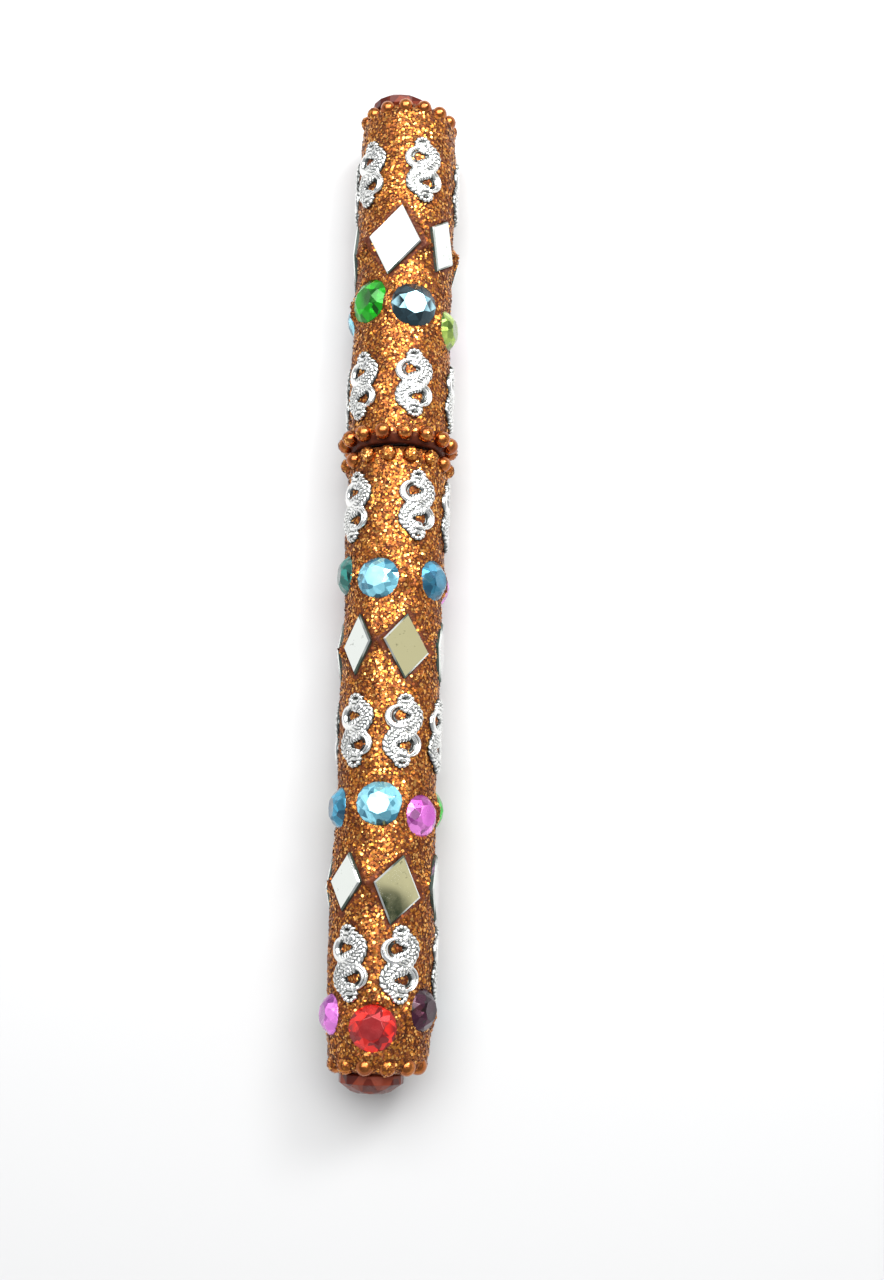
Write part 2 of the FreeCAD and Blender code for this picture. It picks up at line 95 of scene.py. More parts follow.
class Shader:
    """A node material with one Principled BSDF, built up by short calls."""

    def __init__(self, name, **sockets):
        self.material = bpy.data.materials.new(name)
        self.material.use_nodes = True
        self.tree = self.material.node_tree
        self.bsdf = next(n for n in self.tree.nodes if n.type == "BSDF_PRINCIPLED")
        for socket, value in sockets.items():
            self.put(self.bsdf, socket.replace("_", " "), value)

    def put(self, node, socket, value):
        target = node.inputs[socket]
        if isinstance(value, bpy.types.NodeSocket):
            self.tree.links.new(value, target)
        elif hasattr(value, "__len__") and len(value) == 3 and target.type == "RGBA":
            target.default_value = (*value, 1)
        else:
            target.default_value = value

    def add(self, kind, settings=None, **sockets):
        """A new node. Its sockets are given by name, or as i0, i1 and so on by number."""
        node = self.tree.nodes.new("ShaderNode" + kind)
        for key, value in (settings or {}).items():
            setattr(node, key, value)
        for socket, value in sockets.items():
            numbered = socket[0] == "i" and socket[1:].isdigit()
            self.put(node, int(socket[1:]) if numbered else socket.replace("_", " "), value)
        return node

    def place(self):
        return self.add("TexCoord").outputs["Object"]

    def noise(self, scale, detail=2.0, vector=None, rough=0.5):
        node = self.add("TexNoise", Vector=vector or self.place(), Scale=scale, Detail=detail, Roughness=rough)
        return node.outputs["Fac"]

    def cells(self, scale, vector=None, feature="F1"):
        return self.add("TexVoronoi", {"feature": feature}, Vector=vector or self.place(), Scale=scale)

    def ramp(self, factor, stops, kind="LINEAR"):
        node = self.add("ValToRGB", Fac=factor)
        band = node.color_ramp
        band.interpolation = kind
        while len(band.elements) < len(stops):
            band.elements.new(0.5)
        for element, (place, colour) in zip(band.elements, stops):
            element.position = place
            element.color = (*colour, 1) if hasattr(colour, "__len__") else (colour, colour, colour, 1)
        return node.outputs["Color"]

    def span(self, value, from_low, from_high, to_low, to_high):
        return self.add("MapRange", i0=value, i1=from_low, i2=from_high, i3=to_low, i4=to_high).outputs[0]

    def math(self, operation, a, b=0.0):
        return self.add("Math", {"operation": operation}, i0=a, i1=b).outputs[0]

    def vector(self, operation, a, b=None, scale=None):
        node = self.add("VectorMath", {"operation": operation}, i0=a)
        if b is not None:
            self.put(node, 1, b)
        if scale is not None:
            self.put(node, "Scale", scale)
        return node.outputs["Value" if operation in ("DOT_PRODUCT", "LENGTH") else "Vector"]

    def mix(self, factor, a, b):
        return self.add("Mix", {"data_type": "RGBA"}, i0=factor, i6=a, i7=b).outputs[2]

    def bump(self, height, strength, distance):
        return self.add("Bump", Height=height, Strength=strength, Distance=distance).outputs["Normal"]

    def radial_facing(self):
        """How nearly the surface faces straight away from the pen's axis, from -1 to 1."""
        place = self.add("SeparateXYZ", Vector=self.place())
        away = self.add("CombineXYZ", X=self.math("SUBTRACT", place.outputs[0], AXIS_X), Y=0.0,
                        Z=self.math("SUBTRACT", place.outputs[2], AXIS_Z)).outputs[0]
        normal = self.add("NewGeometry").outputs["True Normal"]
        return self.vector("DOT_PRODUCT", normal, self.vector("NORMALIZE", away))

    def facets(self, colours, tilt):
        """The surface normal, turned by a random amount in each cell of a Voronoi colour output."""
        turned = self.vector("SCALE", self.vector("SUBTRACT", colours, (0.5, 0.5, 0.5)), scale=tilt)
        normal = self.add("NewGeometry").outputs["Normal"]
        return self.vector("NORMALIZE", self.vector("ADD", normal, turned))


def glitter_lac():
    """Red-brown lac packed with fine copper glitter. Each grain has its own tone, gloss and tilt."""
    s = Shader("glitter_lac", Specular_IOR_Level=0.12)
    grains = s.cells(4200.0)
    value = s.add("SeparateColor", Color=grains.outputs["Color"]).outputs[0]
    colour = s.ramp(value, [(0.0, (0.085, 0.020, 0.008)), (0.34, (0.17, 0.046, 0.016)),
                            (0.58, (0.30, 0.092, 0.027)), (0.80, (0.46, 0.155, 0.036)),
                            (0.95, (0.70, 0.34, 0.10))], "CONSTANT")
    patches = s.ramp(s.noise(420.0, 3.0), [(0.35, 0.62), (0.65, 1.0)])
    multiply = {"data_type": "RGBA", "blend_type": "MULTIPLY"}
    glitter = s.add("Mix", multiply, i0=1.0, i6=colour, i7=patches).outputs[2]
    bare = s.add("Attribute", {"attribute_name": "bare"}).outputs["Fac"]
    mottle = s.ramp(s.noise(900.0, 3.0), [(0.35, 0.0), (0.65, 1.0)])
    plain = s.mix(mottle, (0.060, 0.013, 0.007), (0.125, 0.030, 0.013))
    s.put(s.bsdf, "Base Color", s.mix(bare, glitter, plain))
    grain_metal = s.span(value, 0.3, 0.6, 0.0, 0.85)
    s.put(s.bsdf, "Metallic", s.math("MULTIPLY", grain_metal, s.math("SUBTRACT", 1.0, bare)))
    s.put(s.bsdf, "Roughness", s.span(value, 0.0, 1.0, 0.6, 0.28))
    s.put(s.bsdf, "Normal", s.facets(grains.outputs["Color"], s.span(bare, 0.0, 1.0, 0.5, 0.1)))
    return s.material


def flake(name, colour, rough):
    """One loose glitter flake is all one tone, and the four tones together make the glitter's variation."""
    return Shader(name, Base_Color=colour, Metallic=0.95, Roughness=rough).material


def metal(name, dark, light, rough, grain, coat=0.0):
    """Metal that tarnishes from dark to light in patches, with a fine uneven surface."""
    s = Shader(name, Metallic=1.0, Coat_Weight=coat, Coat_Roughness=0.08)
    s.put(s.bsdf, "Base Color", s.mix(s.ramp(s.noise(grain, 3.0), [(0.35, 0.0), (0.62, 1.0)]), dark, light))
    s.put(s.bsdf, "Roughness", s.span(s.noise(grain * 3, 2.0), 0.3, 0.7, rough * 0.75, rough * 1.3))
    s.put(s.bsdf, "Normal", s.bump(s.noise(grain * 6, 2.0), 0.12, 0.00003))
    return s.material


def scroll_silver():
    """Bright plating, with painted shade: it is painted near black in the grooves that the "relief" attribute
    marks.
    """
    s = Shader("scroll_silver", Metallic=1.0)
    relief = s.add("Attribute", {"attribute_name": "relief"}).outputs["Fac"]
    # painted shade: the colour runs from near black at low relief (grooves, loop floors, plate edges and backs)
    # to bright silver on the ridges
    tone = s.ramp(relief, [(0.0, (0.035, 0.036, 0.034)), (0.28, (0.22, 0.23, 0.22)),
                           (0.55, (0.82, 0.83, 0.81)), (0.9, (0.95, 0.95, 0.93))])
    dulled = s.ramp(s.noise(1500.0, 2.0), [(0.45, 0.0), (0.75, 0.25)])
    s.put(s.bsdf, "Base Color", s.mix(dulled, tone, (0.60, 0.62, 0.60)))
    s.put(s.bsdf, "Roughness", s.span(s.noise(2500.0, 2.0), 0.3, 0.7, 0.14, 0.26))
    s.put(s.bsdf, "Normal", s.bump(s.noise(3800.0, 3.0), 0.25, 0.00004))
    return s.material


def mirror_glass():
    """Silvered glass with a few dark specks, and greenish dark glass at its cut edges."""
    s = Shader("mirror_glass", Coat_Weight=1.0, Coat_Roughness=0.02)
    front = s.ramp(s.radial_facing(), [(0.74, 0.0), (0.80, 1.0)])
    specks = s.ramp(s.noise(1400.0, 3.0), [(0.66, 1.0), (0.74, 0.45)])
    silver = s.mix(specks, (0.22, 0.24, 0.20), (0.80, 0.84, 0.80))
    s.put(s.bsdf, "Base Color", s.mix(front, (0.045, 0.07, 0.055), silver))
    s.put(s.bsdf, "Metallic", s.span(front, 0.0, 1.0, 0.15, 1.0))
    s.put(s.bsdf, "Roughness", s.span(s.noise(600.0, 2.0), 0.3, 0.7, 0.02, 0.07))
    s.put(s.bsdf, "Normal", s.bump(s.noise(160.0, 1.0), 0.10, 0.0001))
    return s.material


def gem(name, deep, bright, table=None, cell=800.0):
    """A foil-backed stone in its own deep colour, with painted reflections: light and dark facet tones on the
    sloping crown, and a calmer flat table.
    """
    s = Shader(name, Coat_Weight=0.45, Coat_Roughness=0.015, Coat_IOR=1.5)
    flatness = s.ramp(s.radial_facing(), [(0.925, 0.0), (0.955, 1.0)])
    inner = s.cells(cell)
    value = s.add("SeparateColor", Color=inner.outputs["Color"]).outputs[1]
    middle = tuple((a + b) / 2 for a, b in zip(deep, bright))
    # painted reflection: each cell gets a tone from deep to bright, standing in for the foil's glints through
    # the crown
    crown = s.ramp(value, [(0.1, deep), (0.5, middle), (0.85, bright)])
    low, high = table or (deep, middle)
    # the table is mottled between its two tones; where these are pale they are a painted highlight
    calm = s.mix(s.ramp(s.noise(330.0, 1.0), [(0.35, 0.0), (0.65, 1.0)]), low, high)
    s.put(s.bsdf, "Base Color", s.mix(flatness, crown, calm))
    s.put(s.bsdf, "Normal", s.facets(inner.outputs["Color"], s.span(flatness, 0.0, 1.0, 0.40, 0.07)))
    s.put(s.bsdf, "Metallic", s.span(flatness, 0.0, 1.0, 0.60, 0.40))
    s.put(s.bsdf, "Roughness", s.span(s.noise(700.0, 1.0), 0.3, 0.7, 0.18, 0.3))
    return s.material


def end_stone():
    """Cut glass without foil, in deep red-brown, with painted light in its facet tones."""
    s = Shader("end_stone_amber", Coat_Weight=0.35, Coat_Roughness=0.03, Coat_IOR=1.4, Specular_IOR_Level=0.1)
    inner = s.cells(520.0)
    value = s.add("SeparateColor", Color=inner.outputs["Color"]).outputs[1]
    # painted light: facet cells tone from near black to lighter red-brown, standing in for light through the
    # cut glass
    s.put(s.bsdf, "Base Color", s.ramp(value, [(0.1, (0.060, 0.007, 0.004)), (0.5, (0.115, 0.016, 0.008)),
                                               (0.85, (0.21, 0.038, 0.017))]))
    s.put(s.bsdf, "Normal", s.facets(inner.outputs["Color"], 0.18))
    s.put(s.bsdf, "Roughness", s.span(s.noise(700.0, 1.0), 0.3, 0.7, 0.25, 0.4))
    return s.material


def plastic(name, colour, second, rough, grain=900.0, **more):
    """Moulded plastic, faintly mottled between two near colours. More sockets can be given as for Shader."""
    s = Shader(name, **more)
    s.put(s.bsdf, "Base Color", s.mix(s.ramp(s.noise(grain, 3.0), [(0.4, 0.0), (0.6, 1.0)]), colour, second))
    s.put(s.bsdf, "Roughness", s.span(s.noise(grain * 2, 2.0), 0.3, 0.7, rough * 0.8, rough * 1.25))
    s.put(s.bsdf, "Normal", s.bump(s.noise(grain * 4, 2.0), 0.15, 0.00002))
    return s.material


# ---------------------------------------------------------------- meshes

def piece(name, vertices, faces, materials, body, stands_for=(), smooth=True, face_material=None):
    """A mesh object that rides on a CAD body and stands for some of its nodes."""
    mesh = bpy.data.meshes.new(name)
    mesh.from_pydata(vertices, [], faces)
    for material in materials:
        mesh.materials.append(material)
    if face_material is not None:
        mesh.polygons.foreach_set("material_index", face_material)
    mesh.polygons.foreach_set("use_smooth", [smooth] * len(mesh.polygons))
    mesh.update()
    thing = bpy.data.objects.new(name, mesh)
    bpy.context.scene.collection.objects.link(thing)
    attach(thing, body)
    if stands_for:
        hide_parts(*stands_for)
    return thing


def normals_outward(mesh):
    bm = bmesh.new()
    bm.from_mesh(mesh)
    bmesh.ops.recalc_face_normals(bm, faces=bm.faces)
    bm.to_mesh(mesh)
    bm.free()


def loose_parts(node):
    """The separate solids in a CAD node, each as an array of its corner points."""
    bm = bmesh.new()
    bm.from_mesh(NODES[node].data)
    bmesh.ops.remove_doubles(bm, verts=bm.verts, dist=2e-6)
    bm.verts.ensure_lookup_table()
    seen, parts = set(), []
    for start in bm.verts:
        if start.index in seen:
            continue
        stack, found = [start], []
        seen.add(start.index)
        while stack:
            v = stack.pop()
            found.append(tuple(v.co))
            for edge in v.link_edges:
                other = edge.other_vert(v)
                if other.index not in seen:
                    seen.add(other.index)
                    stack.append(other)
        parts.append(np.array(found))
    bm.free()
    return parts


def outward(angle):
    """The direction straight away from the axis at this angle."""
    return np.array([math.sin(angle), 0.0, math.cos(angle)])


def around(angle):
    """The direction round the axis at this angle."""
    return np.array([math.cos(angle), 0.0, -math.sin(angle)])


class Seat:
    """Where a flat piece sits on the lac: its angle, its outline and how far its front is from the axis."""

    def __init__(self, points):
        middle = (points.max(0) + points.min(0)) / 2 - AXIS
        self.angle = math.atan2(middle[0], middle[2])
        for _ in range(6):  # turns until the outline is centred
            tangent = around(self.angle)
            across = (points - AXIS) @ tangent
            shift = (across.max() + across.min()) / 2
            reach = ((points - AXIS) @ outward(self.angle)).max()
            self.angle += math.atan2(shift, reach) * 0.7
        self.y = (points[:, 1].max() + points[:, 1].min()) / 2
        across = (points - AXIS) @ around(self.angle)
        depth = (points - AXIS) @ outward(self.angle)
        self.front = depth.max()
        self.flat = np.column_stack([across, points[:, 1] - self.y])
        self.radius = np.hypot(self.flat[:, 0], self.flat[:, 1]).max()

    def matrix(self):
        """Places a mesh on the seat's front, modelled with X round the pen, Y along it and Z outward."""
        a, o = around(self.angle), outward(self.angle)
        m = Matrix.Identity(4)
        for row in range(3):
            m[row][0], m[row][1], m[row][2] = a[row], (0.0, 1.0, 0.0)[row], o[row]
        m.translation = Vector(AXIS + o * self.front + np.array([0.0, self.y, 0.0]))
        return m


def convex_outline(points):
    """The corners of the outline round some flat points, in order."""
    points = sorted({(round(float(x), 6), round(float(y), 6)) for x, y in points})

    def turn(a, b, c):
        return (b[0] - a[0]) * (c[1] - a[1]) - (b[1] - a[1]) * (c[0] - a[0])

    def chain(ordered):
        out = []
        for p in ordered:
            while len(out) > 1 and turn(out[-2], out[-1], p) <= 0:
                out.pop()
            out.append(p)
        return out[:-1]

    return np.array(chain(points) + chain(points[::-1]))


def outline_distance(corners, x, y):
    """Signed distance to a convex outline, negative inside."""
    distance = np.full(np.shape(x), -1.0)
    for a, b in zip(corners, np.roll(corners, -1, axis=0)):
        edge = b - a
        length = math.hypot(*edge)
        if length > 1e-7:
            distance = np.maximum(distance, ((x - a[0]) * edge[1] - (y - a[1]) * edge[0]) / length)
    return distance


def smooth_step(x, low, high):
    t = np.clip((x - low) / (high - low), 0.0, 1.0)
    return t * t * (3 - 2 * t)


# ---------------------------------------------------------------- the trim's places, read from the CAD nodes

BARREL_STONES = [n for n in NODES if n.split("_")[0] in ("upper", "middle", "lower") and "_stone_" in n]
CAP_STONES = [n for n in NODES if n.startswith("cap_stone_")]
BARREL_MIRRORS = ["barrel_mirrors_upper", "barrel_mirrors_lower"]
BARREL_SCROLLS = ["barrel_scrolls_upper", "barrel_scrolls_middle", "barrel_scrolls_lower"]
CAP_SCROLLS = ["cap_scrolls_upper", "cap_scrolls_lower"]

stone_seats = {n: Seat(loose_parts(n)[0]) for n in BARREL_STONES + CAP_STONES}
mirror_seats = {n: [Seat(p) for p in loose_parts(n)] for n in BARREL_MIRRORS + ["cap_mirrors"]}


class Scroll:
    """A scroll plate's place on the lac, unrolled: angle, middle, twist and size."""

    def __init__(self, points):
        middle = (points.max(0) + points.min(0)) / 2 - AXIS
        start = math.atan2(middle[0], middle[2])
        rel = points - AXIS
        radius = np.hypot(rel[:, 0], rel[:, 2])
        swing = np.arctan2(rel[:, 0], rel[:, 2]) - start
        swing = (swing + math.pi) % (2 * math.pi) - math.pi
        self.radius = float(np.median(radius))
        self.angle = start + (swing.max() + swing.min()) / 2
        self.y = (points[:, 1].max() + points[:, 1].min()) / 2
        u = (swing - (swing.max() + swing.min()) / 2) * self.radius
        v = points[:, 1] - self.y
        ends = v > v.max() * 0.8
        self.twist = math.atan2(-u[ends].mean(), v[ends].mean())
        self.length = v.max() - v.min()


scroll_seats = {n: [Scroll(p) for p in loose_parts(n)] for n in BARREL_SCROLLS + CAP_SCROLLS}

# ---------------------------------------------------------------- the lac shells

AROUND = 192
GRID_ANGLES = np.arange(AROUND) * (2 * math.pi / AROUND)
LINE_SPACING = 0.27 * MM
LUMP_HEIGHT = 0.17 * MM
MOST_BULGE = 0.95 * MM       # how far the lac may swell past the CAD's surface round the trim
STONE_CROWN = 1.35 * MM      # height of a flat-back stone's table over its girdle
STONE_OVAL = 1.04            # the stones are a little wider round the pen than along it
MIRROR_SEAT = 0.75 * MM      # depth of a mirror's seat, and of the rim round it, below its front
MIRROR_RIM = 0.65 * MM
SCROLL_HALF_WIDTH = 2.9 * MM
SCROLL_HALF_LENGTH = 5.3 * MM
FLAKE_SHARES = [0.26, 0.31, 0.24, 0.19]


def surface_line(node, spacing):
    """A lac node's outer profile as points (y, radius), evenly spaced along the line and read by rays."""
    tree = BVHTree.FromObject(NODES[node], bpy.context.evaluated_depsgraph_get())
    rays, outside, skew = 48, 0.014, 0.01
    low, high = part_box(node)
    stations = np.linspace(low.y + 2e-5, high.y - 2e-5, int((high.y - low.y) / (0.2 * MM)))
    radii = []
    for y in stations:
        best = 0.0
        for step in range(rays):
            direction = outward(step * 2 * math.pi / rays + skew)
            origin = AXIS + direction * outside + np.array([0.0, y, 0.0])
            hit = tree.ray_cast(Vector(origin), Vector(-direction), outside - 0.5 * MM)
            if hit[0] is not None:
                best = max(best, outside - hit[3])
        radii.append(best)
    radii = np.array(radii)
    run = np.concatenate([[0.0], np.cumsum(np.hypot(np.diff(stations), np.diff(radii)))])
    even = np.linspace(0.0, run[-1], int(run[-1] / spacing))
    return np.interp(even, run, stations), np.interp(even, run, radii)


def soft_lumps(points, seed):
    """Gentle hand-made unevenness, from -1 to 1 or so, at three sizes."""
    out = np.empty(len(points))
    shift = Vector((seed, seed * 0.7, -seed))
    for k, p in enumerate(points):
        v = Vector(p)
        out[k] = (noise.noise(v * 210 + shift) + 0.55 * noise.noise(v * 480 + shift)
                  + 0.3 * noise.noise(v * 1100 + shift))
    return out


CAP_MOUTH_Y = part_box("cap_lac")[0].y


def mouth_bare(ys):
    """1 on the plain lip of the cap's mouth, which carries no glitter, and 0 elsewhere."""
    if ys[0] <= CAP_MOUTH_Y - MM:
        return 0 * ys
    return 1 - smooth_step(np.abs(ys - CAP_MOUTH_Y), 0.9 * MM, 2.0 * MM)


def on_lac(radius, angle, y):
    """The points at these radii from the axis."""
    return np.stack([AXIS_X + radius * np.sin(angle), y, AXIS_Z + radius * np.cos(angle)], axis=-1)


def swing_from(angle, middle):
    """How far an angle is from another, the short way round."""
    return (angle - middle + math.pi) % (2 * math.pi) - math.pi


def hexagons(centre, reach, side, other):
    """The corners of flat hexagons, six for each centre."""
    corners = []
    for k in range(6):
        turn = k * math.pi / 3
        corners.append(centre + reach * (math.cos(turn) * side + math.sin(turn) * other))
    return np.stack(corners, axis=1).reshape(-1, 3)


def flake_piece(name, corners, dice, materials, body):
    """A piece made of hexagonal flakes, each with a tone of its own."""
    count = len(corners) // 6
    faces = np.arange(count * 6).reshape(count, 6).tolist()
    tone = dice.choice(len(materials), size=count, p=FLAKE_SHARES).tolist()
    piece(name, corners.tolist(), faces, materials, body, smooth=False, face_material=tone)


class Lac:
    """The lac of one shell: a grid of radii over (y, angle), its normals, and what the trim covers."""

    def __init__(self, node, body, stones, mirrors, scrolls, closed_low, bore, bore_end, seed):
        self.node, self.body, self.closed_low = node, body, closed_low
        self.bore, self.bore_end = bore, bore_end
        self.ys, self.base = surface_line(node, LINE_SPACING)
        y = self.ys[:, None] + 0 * GRID_ANGLES[None, :]
        angle = GRID_ANGLES[None, :] + 0 * self.ys[:, None]
        base = self.base[:, None] + 0 * angle
        lumps = soft_lumps(on_lac(base, angle, y).reshape(-1, 3), seed).reshape(base.shape)
        from_end = np.minimum(self.ys - self.ys[0], self.ys[-1] - self.ys)
        ends = smooth_step(from_end, 0.6 * MM, 2.5 * MM)[:, None]
        radius = base + lumps * LUMP_HEIGHT * (0.15 + 0.85 * ends)
        self.covered = np.zeros(base.shape)
        self.pressed = np.zeros(base.shape)
        seats = [(stone_seats[n], "stone") for n in stones]
        seats += [(m, "mirror") for n in mirrors for m in mirror_seats[n]]
        for seat, kind in seats:
            swing = swing_from(angle, seat.angle)
            near = (np.abs(swing) < 1.15) & (np.abs(y - seat.y) < 9 * MM)
            across = base * np.sin(swing)
            if kind == "stone":
                distance = np.hypot(across / STONE_OVAL, (y - seat.y) * 1.02) - seat.radius
                girdle = seat.front - STONE_CROWN
                inside, rim, reach = girdle - 0.05 * MM, girdle - 0.25 * MM, 1.0 * MM
            else:
                distance = outline_distance(convex_outline(seat.flat), across, y - seat.y)
                inside, rim, reach = seat.front - MIRROR_SEAT, seat.front - MIRROR_RIM, 1.2 * MM
            cosine = np.maximum(np.cos(swing), 0.35)
            lift = np.maximum(0.0, rim / cosine - base)
            raised = radius + (1 - smooth_step(distance, 0.25 * MM, reach)) * lift
            under = 1 - smooth_step(distance, -0.10 * MM, 0.22 * MM)
            radius = np.where(near, raised * (1 - under) + (inside / cosine) * under, radius)
            hidden = 1 - smooth_step(distance, -0.15 * MM, 0.10 * MM)
            self.covered = np.where(near, np.maximum(self.covered, hidden), self.covered)
            if kind == "mirror":
                rubbed = 1 - smooth_step(distance, 0.2 * MM, 1.1 * MM)
                self.pressed = np.where(near, np.maximum(self.pressed, rubbed), self.pressed)
        for seat in [s for n in scrolls for s in scroll_seats[n]]:
            swing = swing_from(angle, seat.angle)
            near = (np.abs(swing) < 1.0) & (np.abs(y - seat.y) < 9 * MM)
            u, v = swing * base, y - seat.y
            along = v * math.cos(seat.twist) - u * math.sin(seat.twist)
            side = u * math.cos(seat.twist) + v * math.sin(seat.twist)
            distance = (np.hypot(side / SCROLL_HALF_WIDTH, along / SCROLL_HALF_LENGTH) - 1) * 3 * MM
            under = 1 - smooth_step(distance, -0.5 * MM, 0.5 * MM)
            radius = np.where(near, radius * (1 - under) + (base + 0.05 * MM) * under, radius)
            self.pressed = np.where(near, np.maximum(self.pressed, 0.35 * under), self.pressed)
        self.bare = np.clip(self.pressed * 0.9 + mouth_bare(self.ys)[:, None], 0, 1)
        self.points = on_lac(np.minimum(radius, base + MOST_BULGE), angle, y)
        around_step = np.roll(self.points, -1, axis=1) - np.roll(self.points, 1, axis=1)
        along_step = np.gradient(self.points, axis=0)
        normal = np.cross(along_step, around_step)
        normal /= np.maximum(np.linalg.norm(normal, axis=2, keepdims=True), 1e-12)
        away = self.points - AXIS
        away[..., 1] = 0
        self.normal = normal * np.sign(np.sum(normal * away, axis=2, keepdims=True))

    def shell(self, material, name):
        """The closed shell: end disc, outside, lip, bore and bore end."""
        order = slice(None) if self.closed_low else slice(None, None, -1)  # from the closed end to the mouth
        outer = list(self.points[order])
        first, last = self.ys[order][0], self.ys[order][-1]
        end, mouth = self.base[order][0], self.base[order][-1]

        def ring(y, radius):
            return on_lac(radius, GRID_ANGLES, np.full(AROUND, y))

        disc = [ring(first, end * share) for share in (0.02, 0.35, 0.65, 0.85, 0.95)]
        inner = [ring(last, self.bore + (mouth - self.bore) * share) for share in (0.66, 0.33, 0.0)]
        depth = self.bore_end - last
        inner += [ring(last + depth * share, self.bore) for share in (0.03, 0.2, 0.5, 0.8, 1.0)]
        inner += [ring(self.bore_end, self.bore * 0.5), ring(self.bore_end, self.bore * 0.02)]
        rings = disc + outer + inner
        vertices = np.concatenate(rings)
        count = len(rings)
        i = np.arange(AROUND)
        faces = []
        for k in range(count - 1):
            a, b = k * AROUND, (k + 1) * AROUND
            quads = np.column_stack([a + i, a + (i + 1) % AROUND, b + (i + 1) % AROUND, b + i])
            faces.append(quads if self.closed_low else quads[:, ::-1])
        faces = np.concatenate(faces).tolist()
        caps = [list(range(AROUND))[::-1], [(count - 1) * AROUND + int(k) for k in i]]
        faces += caps if self.closed_low else [c[::-1] for c in caps]
        thing = piece(name, vertices.tolist(), faces, [material], self.body, [self.node])
        plain = np.ones(len(inner) * AROUND)
        tones = np.concatenate([np.zeros(len(disc) * AROUND), self.bare[order].ravel(), plain])
        attribute = thing.data.attributes.new("bare", "FLOAT", "POINT")
        attribute.data.foreach_set("value", tones.astype(np.float32))
        normals_outward(thing.data)

    def flakes(self, count, seed, materials, name):
        """Hexagonal glitter flakes lying on the lac at all tilts."""
        dice = np.random.RandomState(seed)
        tall, wide = (np.linalg.norm(np.gradient(self.points, axis=k), axis=2) for k in (0, 1))
        chance = tall * wide * (1 - self.covered) * (1 - 0.85 * self.bare)
        chance[:2], chance[-2:] = 0, 0
        chance = chance.ravel() / chance.sum()
        spot = dice.choice(len(chance), size=count, p=chance)
        row, column = spot // AROUND, spot % AROUND
        next_row, next_column = np.minimum(row + 1, len(self.ys) - 1), (column + 1) % AROUND
        p, q = dice.rand(count, 1), dice.rand(count, 1)
        centre = (self.points[row, column] * (1 - p) * (1 - q) + self.points[row, next_column] * (1 - p) * q
                  + self.points[next_row, column] * p * (1 - q)
                  + self.points[next_row, next_column] * p * q)
        normal = self.normal[row, column] + dice.normal(0, 0.16, (count, 3))
        normal /= np.linalg.norm(normal, axis=1, keepdims=True)
        centre = centre + self.normal[row, column] * dice.uniform(0.01, 0.11, (count, 1)) * MM
        side = np.cross(normal, dice.normal(0, 1, (count, 3)))
        side /= np.maximum(np.linalg.norm(side, axis=1, keepdims=True), 1e-9)
        size = dice.uniform(0.12, 0.24, (count, 1)) * MM
        corners = hexagons(centre, size, side, np.cross(normal, side))
        flake_piece(name, corners, dice, materials, self.body)


def dusting(node, body, count, seed, share, materials, name):
    """Glitter caught on the lac side of some beads in a ring."""
    dice = np.random.RandomState(seed)
    parts = loose_parts(node)
    beads = [(p.min(0) + p.max(0)) / 2 for p in parts]
    size = max((p.max(0) - p.min(0)).max() for p in parts) / 2
    chosen = [b for b in beads if dice.rand() < share]
    corners = []
    for _ in range(count):
        middle = chosen[dice.randint(len(chosen))]
        away = middle - AXIS
        away[1] = 0
        way = away / np.linalg.norm(away) * 0.9 + dice.normal(0, 0.55, 3)
        way /= np.linalg.norm(way)
        normal = way + dice.normal(0, 0.16, 3)
        normal /= np.linalg.norm(normal)
        side = np.cross(normal, dice.normal(0, 1, 3))
        side /= np.linalg.norm(side)
        centre = middle + way * (size + dice.uniform(0.01, 0.05) * MM)
        reach = dice.uniform(0.10, 0.20) * MM
        corners.append(hexagons(centre[None], reach, side[None], np.cross(normal, side)[None]))
    flake_piece(name, np.concatenate(corners), dice, materials, body)


# ---------------------------------------------------------------- cut stones

def brilliant(girdle, table, crown, girdle_height, pavilion, back, star=0.52):
    """A brilliant-cut stone with its table at height 0, as vertices and faces.

    girdle, table and back are radii, the next three are heights, and star is where the star facets end,
    from 0 at the table to 1 at the girdle.
    """
    verts, faces = [], []

    def add(radius, degrees, height):
        turn = math.radians(degrees)
        verts.append((radius * math.cos(turn), radius * math.sin(turn), height))
        return len(verts) - 1

    star_radius = table + (girdle - table) * star
    star_height = -crown * min(1.0, (star_radius * math.cos(math.radians(22.5)) - table) / (girdle - table))
    tables = [add(table, 45 * k, 0.0) for k in range(8)]
    stars = [add(star_radius, 45 * k + 22.5, star_height) for k in range(8)]
    rim = [add(girdle, 22.5 * k, -crown) for k in range(16)]
    rim_low = [add(girdle, 22.5 * k, -crown - girdle_height) for k in range(16)]
    base = [add(back, 45 * k + 22.5, -crown - girdle_height - pavilion) for k in range(8)]
    faces.append(tables)
    for k in range(8):
        after = (k + 1) % 8
        faces.append([tables[k], stars[k], tables[after]])
        faces.append([tables[k], stars[k - 1], rim[2 * k], stars[k]])
        faces.append([stars[k], rim[2 * k], rim[2 * k + 1]])
        faces.append([stars[k], rim[2 * k + 1], rim[(2 * k + 2) % 16]])
        faces.append([rim_low[2 * k], rim_low[2 * k + 1], base[k]])
        faces.append([rim_low[2 * k + 1], rim_low[(2 * k + 2) % 16], base[k]])
        faces.append([rim_low[(2 * k + 2) % 16], base[after], base[k]])
    for k in range(16):
        after = (k + 1) % 16
        faces.append([rim[k], rim_low[k], rim_low[after], rim[after]])
    faces.append(base[::-1])
    return verts, faces


